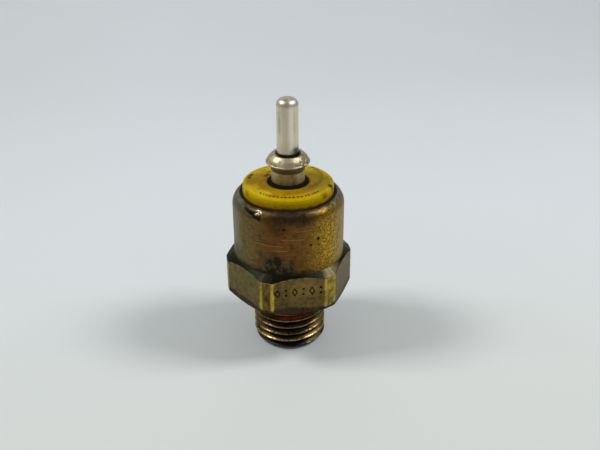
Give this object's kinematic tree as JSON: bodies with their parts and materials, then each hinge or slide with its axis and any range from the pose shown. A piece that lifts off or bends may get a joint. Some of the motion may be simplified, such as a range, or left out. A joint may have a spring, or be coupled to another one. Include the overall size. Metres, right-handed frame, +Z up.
{
  "type": "pressure switch",
  "caption": "Screw-in brass diaphragm pressure switch: hexagon body with a threaded stud, rolled rim, yellow insulator and a single round push-on terminal.",
  "frame": {"origin": "centre of the stud's end face, on the switch's axis", "axes": "+Z up the axis from the stud to the terminal pin; +Y and -Y square to two opposite spanner flats"},
  "size_m": [0.0242, 0.022, 0.0493],
  "materials": {
    "aged_brass": "tarnished, blotched brown and gold, worn bright on edges",
    "clean_brass": "turned, satin",
    "nickel": "nickel plate on brass, satin, worn",
    "silver": "silver contact, satin",
    "plated_steel": "zinc plated",
    "spring_steel": "drawn spring wire",
    "yellow_plastic": "moulded, semi-gloss, grubby",
    "white_plastic": "moulded",
    "amber_film": "formed polyimide film",
    "black_rubber": "moulded"
  },
  "bodies": {
    "switch_body": {"housing": "aged_brass", "diaphragm_seal": "black_rubber", "diaphragm": "amber_film", "support_ring": "plated_steel", "earth_contact_ring": "clean_brass", "contact_spring": "spring_steel", "spring_cap": "clean_brass", "adjusting_screw": "clean_brass", "terminal_washer": "plated_steel", "insulator": "yellow_plastic", "rim_gasket": "black_rubber", "terminal_grommet": "black_rubber", "terminal_sleeve": "nickel", "terminal_collar": "nickel", "terminal_pin": "nickel"},
    "contact_stack": {"pressure_plate": "clean_brass", "plunger": "white_plastic", "contact_plate": "clean_brass", "contact_tip_1": "silver", "contact_tip_2": "silver", "contact_tip_3": "silver"}
  },
  "joints": [
    {"name": "switch_stroke", "type": "slide", "parent": "switch_body", "child": "contact_stack", "axis": [0, 0, 1], "range_m": [0, 0.0008], "stiffness_N_per_m": 3600, "springref_m": -0.0009, "deforming": ["contact_spring", "diaphragm"]}
  ]
}
